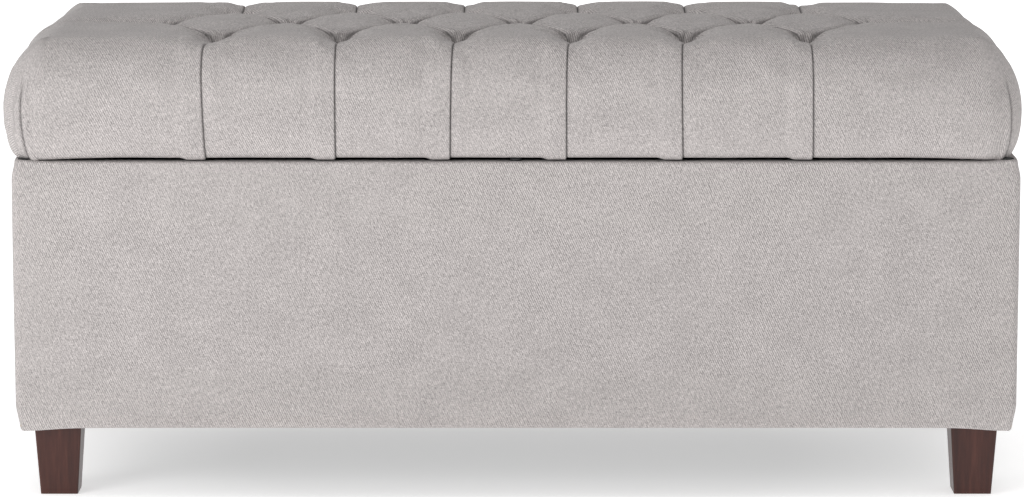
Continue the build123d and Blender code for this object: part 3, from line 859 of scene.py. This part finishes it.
def make_box_cover():
    """The cover as one sheet, and its flat size."""
    o = BOX_OUTLINE
    s = cover_places_round()
    corner = o.corner_share(s, 24 * MM)
    sharp = o.corner_share(s, 40 * MM)
    nx, ny = o.normal(s)
    cx, cy = o.centre(s)
    points, cloth = [], []
    run = 0.0
    last = None
    for inset, height in cover_profile():
        if last:
            run += math.hypot(inset - last[0], height - last[1])
        last = (inset, height)
        above = smoothstep(RIM_Z - 24 * MM, RIM_Z, height) ** 2
        below = smoothstep(BOX_Z + 26 * MM, BOX_Z, height)
        outside = inset <= HEM_RADIUS + 1e-9
        pulled = outside or height > RIM_Z - 1 * MM
        pull = (RIM_PULL * above + HEM_PULL * below) * corner * pulled
        wide = np.minimum(inset + pull, o.radius)
        x, y = cx + (o.radius - wide) * nx, cy + (o.radius - wide) * ny
        deep = max(inset, float(o.radius))
        if inset > o.radius:
            x = np.clip(x, -(BOX_HALF_X - deep), BOX_HALF_X - deep)
            y = np.clip(y, -(BOX_HALF_Y - deep), BOX_HALF_Y - deep)
        z = height - HEM_SAG * below * sharp * (1 if inset < 22 * MM else 0)
        z = z + CORNER_LIFT * corner * (1 if height > RIM_Z - 6 * MM and inset < 14 * MM else 0)
        face = smoothstep(BOX_Z, BOX_Z + 60 * MM, height) * smoothstep(RIM_Z, RIM_Z - 40 * MM, height)
        swell = 0.7 * MM * face * (1 - sharp) if outside else 0 * s
        ripple = 0.25 * MM * waves(x, y, z + 0 * x, 110 * MM, 11) if outside else 0 * s
        x = x + nx * (swell + ripple)
        y = y + ny * (swell + ripple)
        points.append(np.stack([x, y, z + 0 * x], axis=1))
        cloth.append(np.stack([s - o.length, -run + 0 * s], axis=1))
    piece = new_piece("box_fabric", np.concatenate(points), grid_faces(0, len(points), len(s), False))
    piece.data.flip_normals()
    set_cloth_places(piece, np.concatenate(cloth))
    area = sum(f.area for f in piece.data.polygons)
    return piece, (o.length, area / o.length)


# --- Buttons ---


BUTTON_REACH = 8.5 * MM
BUTTON_DOME = 5.5 * MM


def make_buttons():
    """Covered buttons at the bottom of each hollow, domed, with the cloth gathered under the edge."""
    points, faces, cloth = [], [], []
    rings, spokes = 9, 24
    base_z = CREST_Z - TUFT_DEPTH - 1.5 * MM
    for row in TUFTS:
        for cx, cy in row:
            first = len(points)
            points.append((cx, cy, base_z + BUTTON_DOME))
            cloth.append((cx, cy))
            for i in range(1, rings + 1):
                angle = i / rings * math.pi * 0.72
                radius = BUTTON_REACH * min(math.sin(angle) ** 0.8, 1.0)
                z = base_z + BUTTON_DOME * (0.5 + 0.5 * math.cos(angle))
                for k in range(spokes):
                    turn = 2 * math.pi * k / spokes
                    crimp = 1 + 0.02 * math.sin(6 * turn) * (i / rings) ** 2
                    reach = radius * crimp
                    points.append((cx + reach * math.cos(turn), cy + reach * math.sin(turn), z))
                    cloth.append((cx + i * MM * math.cos(turn), cy + i * MM * math.sin(turn)))
            for k in range(spokes):
                faces.append((first, first + 1 + k, first + 1 + (k + 1) % spokes))
            faces += grid_faces(first + 1, rings, spokes, True)
    piece = new_piece("covered_buttons", points, faces)
    set_cloth_places(piece, np.array(cloth))
    return piece


# --- Materials ---


class Nodes:
    """A short way to build a material's node tree."""

    def __init__(self, name):
        self.material = bpy.data.materials.new(name)
        self.material.use_nodes = True
        self.tree = self.material.node_tree
        self.shader = self.tree.nodes["Principled BSDF"]

    def add(self, kind, inputs=None, **settings):
        node = self.tree.nodes.new(kind)
        for key, value in settings.items():
            setattr(node, key, value)
        for key, value in (inputs or {}).items():
            self.put(node.inputs[key], value)
        return node

    def put(self, socket, value):
        if isinstance(value, bpy.types.NodeSocket):
            self.tree.links.new(value, socket)
        else:
            socket.default_value = value

    def set(self, **values):
        for key, value in values.items():
            self.put(self.shader.inputs[key.replace("_", " ")], value)

    def maths(self, operation, a, b=0.0, c=0.0):
        node = self.add("ShaderNodeMath", operation=operation)
        for socket, value in zip(node.inputs, (a, b, c)):
            self.put(socket, value)
        return node.outputs[0]

    def scaled(self, value, factor, base):
        """value * factor + base."""
        return self.maths("MULTIPLY_ADD", value, factor, base)

    def noise(self, vector, scale, detail=2.0, rough=0.5):
        inputs = {"Vector": vector, "Scale": scale, "Detail": detail, "Roughness": rough}
        return self.add("ShaderNodeTexNoise", inputs).outputs["Fac"]

    def stretched(self, vector, scale, turn=(0, 0, 0)):
        node = self.add("ShaderNodeMapping", {"Vector": vector, "Scale": scale, "Rotation": turn})
        return node.outputs["Vector"]

    def ramp(self, value, stops):
        node = self.add("ShaderNodeValToRGB", {"Fac": value})
        ramp = node.color_ramp
        while len(ramp.elements) < len(stops):
            ramp.elements.new(0.5)
        for element, (place, colour) in zip(ramp.elements, stops):
            element.position = place
            element.color = (*colour, 1)
        return node.outputs["Color"]

    def bump(self, height, strength, distance, normal=None):
        inputs = {"Height": height, "Strength": strength, "Distance": distance}
        if normal is not None:
            inputs["Normal"] = normal
        return self.add("ShaderNodeBump", inputs).outputs["Normal"]

    def place(self, attribute=None):
        """Coordinates in metres: the flat cloth's, or the object's own."""
        if attribute:
            return self.add("ShaderNodeAttribute", attribute_name=attribute).outputs["Vector"]
        return self.add("ShaderNodeTexCoord").outputs["Object"]


def tinted(colour, factor):
    return tuple(min(1.0, c * factor) for c in colour)


def twill_material(colour=(0.462, 0.430, 0.422)):
    """Fine heathered twill: diagonal ribs, mixed light and dark yarns, a little fuzz, and painted shade
    along creases.
    """
    n = Nodes("grey_twill")
    place = n.place("cloth")
    ribs = n.stretched(place, (1, 1, 1), (0, 0, math.radians(-25)))
    twill = n.add(
        "ShaderNodeTexWave",
        {"Vector": ribs, "Scale": 150.0, "Distortion": 2.2, "Detail": 2.0, "Detail Scale": 3.0},
        bands_direction="X",
    ).outputs["Fac"]
    slubs = n.noise(n.stretched(ribs, (520, 210, 400)), 1.0, 2.0, 0.6)
    heather = n.noise(n.stretched(place, (620, 620, 620)), 1.0, 2.0, 0.65)
    cloud = n.noise(place, 26.0, 4.0, 0.6)
    wide = n.noise(place, 5.0, 3.0, 0.55)
    strength = n.ramp(wide, [(0.40, (0.12,) * 3), (0.62, (0.34,) * 3)])
    patchy = n.scaled(n.maths("SUBTRACT", twill, 0.5), strength, 0.13)
    mix = n.scaled(heather, 0.58, patchy)
    mix = n.scaled(slubs, 0.50, mix)
    mix = n.scaled(cloud, 0.14, mix)
    base = n.ramp(mix, [(0.52, tinted(colour, 0.56)), (0.74, colour), (0.96, tinted(colour, 1.5))])
    # painted shade: darkens the cloth's colour along creases and in the tufts' hollows
    painted_crease_shade = n.add("ShaderNodeAttribute", attribute_name="painted_crease_shade").outputs["Fac"]
    shade = n.maths("SUBTRACT", 1.0, n.maths("MULTIPLY", painted_crease_shade, 0.72))
    base = n.add("ShaderNodeVectorMath", {0: base, 1: shade}, operation="MULTIPLY").outputs["Vector"]
    rough = n.scaled(heather, 0.12, 0.82)
    normal = n.bump(twill, 0.45, 0.0005)
    normal = n.bump(slubs, 0.40, 0.0006, normal)
    normal = n.bump(heather, 0.30, 0.0005, normal)
    n.set(Base_Color=base, Roughness=rough, Normal=normal)
    n.set(Sheen_Weight=0.15, Sheen_Roughness=0.5)
    n.shader.inputs["Specular IOR Level"].default_value = 0.2
    return n.material


def lining_material():
    """Dark plain-weave lining."""
    n = Nodes("dark_lining")
    place = n.place()
    warp = n.noise(n.stretched(place, (1400, 1400, 60)), 1.0, 2.0)
    weft = n.noise(n.stretched(place, (60, 60, 1400)), 1.0, 2.0)
    weave = n.scaled(warp, 0.5, n.maths("MULTIPLY", weft, 0.5))
    base = n.ramp(weave, [(0.3, (0.022, 0.021, 0.020)), (0.7, (0.060, 0.057, 0.055))])
    n.set(Base_Color=base, Roughness=n.scaled(weave, 0.2, 0.7))
    n.set(Normal=n.bump(weave, 0.3, 0.0004))
    n.set(Sheen_Weight=0.15)
    return n.material


def nonwoven_material():
    n = Nodes("black_nonwoven")
    place = n.place()
    fibre = n.noise(n.stretched(place, (500, 900, 500), (0, 0, 0.6)), 1.0, 4.0, 0.7)
    base = n.ramp(fibre, [(0.35, (0.010, 0.010, 0.010)), (0.7, (0.035, 0.035, 0.034))])
    n.set(Base_Color=base, Roughness=n.scaled(fibre, 0.15, 0.78))
    n.set(Normal=n.bump(fibre, 0.4, 0.0004))
    return n.material


def espresso_material():
    """Dark stained hardwood, satin lacquer, grain along the leg, edges rubbed a little lighter."""
    n = Nodes("espresso_wood")
    place = n.place()
    grain = n.noise(n.stretched(place, (260, 260, 9)), 1.0, 5.0, 0.65)
    pores = n.noise(n.stretched(place, (1500, 1500, 45)), 1.0, 2.0, 0.5)
    figure = n.noise(n.stretched(place, (40, 40, 3)), 1.0, 2.0, 0.5)
    mix = n.scaled(figure, 0.45, n.maths("MULTIPLY", grain, 0.6))
    dark, middle, light = (0.030, 0.0080, 0.0058), (0.060, 0.0170, 0.0115), (0.098, 0.031, 0.021)
    base = n.ramp(mix, [(0.32, dark), (0.55, middle), (0.75, light)])
    edge = n.add("ShaderNodeBevel", {"Radius": 0.0025}, samples=4).outputs["Normal"]
    face = n.add("ShaderNodeNewGeometry").outputs["Normal"]
    turn = n.add("ShaderNodeVectorMath", {0: edge, 1: face}, operation="DOT_PRODUCT").outputs["Value"]
    worn = n.maths("MULTIPLY", n.maths("SUBTRACT", 1.0, turn), 2.0)
    rubbed = (0.16, 0.085, 0.06, 1)
    mixed = n.add("ShaderNodeMix", {0: worn, 6: base, 7: rubbed}, data_type="RGBA").outputs[2]
    n.set(Base_Color=mixed, Roughness=n.scaled(grain, 0.25, 0.22))
    n.set(Normal=n.bump(pores, 0.18, 0.0003, n.bump(grain, 0.08, 0.0005)))
    n.set(Coat_Weight=0.15, Coat_Roughness=0.3)
    n.shader.inputs["Specular IOR Level"].default_value = 0.3
    return n.material


def wood_material(name, dark, light, along):
    """Plain unfinished wood with its grain along one axis."""
    n = Nodes(name)
    place = n.place()
    scale = [180.0, 180.0, 180.0]
    scale[along] = 7.0
    grain = n.noise(n.stretched(place, scale), 1.0, 4.0, 0.6)
    knots = n.noise(n.stretched(place, [v / 9 for v in scale]), 1.0, 2.0, 0.5)
    mix = n.scaled(knots, 0.4, n.maths("MULTIPLY", grain, 0.6))
    base = n.ramp(mix, [(0.3, dark), (0.7, light)])
    n.set(Base_Color=base, Roughness=n.scaled(grain, 0.2, 0.6))
    n.set(Normal=n.bump(grain, 0.25, 0.0006))
    return n.material


def steel_material():
    """Bright zinc plate with fine drawing lines and a few rubbed spots."""
    n = Nodes("zinc_steel")
    place = n.place()
    lines = n.noise(n.stretched(place, (300, 3000, 3000)), 1.0, 2.0)
    spots = n.noise(place, 120.0, 3.0, 0.6)
    base = n.ramp(spots, [(0.35, (0.50, 0.50, 0.49)), (0.65, (0.68, 0.68, 0.66))])
    n.set(Base_Color=base, Metallic=1.0, Roughness=n.scaled(spots, 0.25, 0.22))
    n.set(Normal=n.bump(lines, 0.12, 0.0002))
    return n.material


def speckled(name, dark, light, scale, roughness, bump=0.3, sheen=0.0):
    """Foam, wadding, rubber and moulded plastic: a fine speckle in colour and height."""
    n = Nodes(name)
    place = n.place()
    speckle = n.noise(place, scale, 3.0, 0.6)
    base = n.ramp(speckle, [(0.35, dark), (0.65, light)])
    n.set(Base_Color=base, Roughness=n.scaled(speckle, 0.15, roughness))
    n.set(Normal=n.bump(speckle, bump, 0.0005), Sheen_Weight=sheen)
    return n.material


def paint(obj, material):
    obj.data.materials.clear()
    obj.data.materials.append(material)


def paint_cad_nodes():
    slots = {s["node"]: s["material_slot"] for s in frame["record"]["subparts"]}
    wadding = (0.75, 0.75, 0.73), (0.88, 0.88, 0.86)
    by_slot = {
        "cover_fabric": twill_material(),
        "lining_fabric": lining_material(),
        "dust_cover_fabric": nonwoven_material(),
        "leg_wood": espresso_material(),
        "plywood": wood_material("birch_ply", (0.42, 0.28, 0.15), (0.66, 0.50, 0.32), 0),
        "frame_wood": wood_material("pine", (0.50, 0.34, 0.18), (0.72, 0.55, 0.34), 0),
        "zinc_steel": steel_material(),
        "foam": speckled("foam", (0.62, 0.56, 0.40), (0.80, 0.75, 0.60), 900.0, 0.85),
        "batting": speckled("wadding", *wadding, 300.0, 0.9, 0.5, 0.3),
        "twine": speckled("twine", (0.55, 0.50, 0.42), (0.75, 0.71, 0.62), 2500.0, 0.7),
        "plastic": speckled("plastic", (0.70, 0.70, 0.68), (0.80, 0.80, 0.78), 700.0, 0.4, 0.1),
        "rubber": speckled("rubber", (0.015, 0.015, 0.015), (0.04, 0.04, 0.04), 1500.0, 0.65),
    }
    for node, slot in slots.items():
        paint(NODES[node], by_slot[slot])
    return by_slot


# --- Stage, light and camera ---

CAMERA_DISTANCE = 4.30  # from the front face
CAMERA_HEIGHT = 0.935
CAMERA_PITCH = math.radians(8.832)
CAMERA_LENS = 146.35
CAMERA_SIDE = -0.0042
FLOOR_GAP = 0.5 * MM
STAGE_SIZE = 80.0
GLOW_REACH = 5.0  # metres that FLOOR_GLOW's places, from 0 to 1, stand for
# painted light: how brightly the floor glows, by distance from the bench
FLOOR_GLOW = [(0.06, (0.48,) * 3), (0.15, (0.72,) * 3), (0.80, (1.0,) * 3)]
SKY_GLOW = [(0.0, (0.95,) * 3), (0.22, (0.40,) * 3)]  # by the sine of the elevation


def make_stage():
    """A wide pale floor with painted light: it glows, brighter away from the bench as a studio floor lit
    from behind is.
    """
    half = STAGE_SIZE / 2
    corners = [(-half, -half), (half, -half), (half, half), (-half, half)]
    points = [(x, y, -FLOOR_GAP) for x, y in corners]
    stage = new_piece("stage_floor", points, [(0, 1, 2, 3)])
    n = Nodes("pale_floor")
    place = n.place()
    speck = n.noise(place, 40.0, 3.0)
    away = n.add("ShaderNodeVectorMath", {0: place}, operation="LENGTH").outputs["Value"]
    # painted light: the floor's glow is dimmer near the bench and white further away
    glow = n.ramp(n.maths("MULTIPLY", away, 1 / GLOW_REACH), FLOOR_GLOW)
    pale = n.ramp(speck, [(0.3, (0.90, 0.90, 0.90)), (0.7, (0.92, 0.92, 0.92))])
    n.set(Base_Color=pale, Roughness=0.8, Emission_Color=glow, Emission_Strength=1.0)
    paint(stage, n.material)


def add_light(name, place, target, size, power, colour=(1, 1, 1)):
    light = bpy.data.lights.new(name, "AREA")
    light.shape = "RECTANGLE"
    light.size, light.size_y = size
    light.energy = power
    light.color = colour
    lamp = bpy.data.objects.new(name, light)
    lamp.location = place
    lamp.rotation_euler = (Vector(target) - Vector(place)).to_track_quat("-Z", "Y").to_euler()
    bpy.context.scene.collection.objects.link(lamp)


def make_lights():
    middle = (0.0, 0.0, 0.25)
    add_light("key_light", (-2.3, -2.5, 1.2), (-0.2, 0.0, 0.3), (1.6, 1.4), 36)
    add_light("top_light", (0.0, -0.5, 3.0), middle, (2.4, 1.6), 13)
    bpy.context.scene.world = make_sky()


def make_sky():
    """White at the horizon and dimmer overhead."""
    world = bpy.data.worlds.new("studio")
    world.use_nodes = True
    tree = world.node_tree
    towards = tree.nodes.new("ShaderNodeTexCoord").outputs["Generated"]
    parts = tree.nodes.new("ShaderNodeSeparateXYZ")
    tree.links.new(towards, parts.inputs[0])
    ramp = tree.nodes.new("ShaderNodeValToRGB")
    tree.links.new(parts.outputs["Z"], ramp.inputs["Fac"])
    for element, (place, colour) in zip(ramp.color_ramp.elements, SKY_GLOW):
        element.position = place
        element.color = (*colour, 1)
    tree.links.new(ramp.outputs["Color"], tree.nodes["Background"].inputs["Color"])
    return world


def make_camera():
    camera = bpy.data.cameras.new("camera")
    camera.sensor_width = 36.0
    camera.lens = CAMERA_LENS
    camera.clip_end = 50
    holder = bpy.data.objects.new("camera", camera)
    holder.location = (CAMERA_SIDE, -BOX_HALF_Y - CAMERA_DISTANCE, CAMERA_HEIGHT)
    holder.rotation_euler = (math.pi / 2 - CAMERA_PITCH, 0, 0)
    bpy.context.scene.collection.objects.link(holder)
    bpy.context.scene.camera = holder
    bpy.context.scene.view_settings.view_transform = "Standard"


# --- Assembly ---


def build():
    finishes = paint_cad_nodes()
    twill = finishes["cover_fabric"]
    cushion = make_cushion()
    paint(cushion, twill)
    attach(cushion, "lid")
    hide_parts("lid_cover", "lid_batting", "lid_foam")

    cover, flat = make_box_cover()
    paint(cover, twill)
    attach(cover, "box")
    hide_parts("box_cover", "box_padding")

    buttons = make_buttons()
    paint(buttons, twill)
    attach(buttons, "lid")
    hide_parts("tuft_buttons")

    make_stage()
    make_lights()
    make_camera()


build()
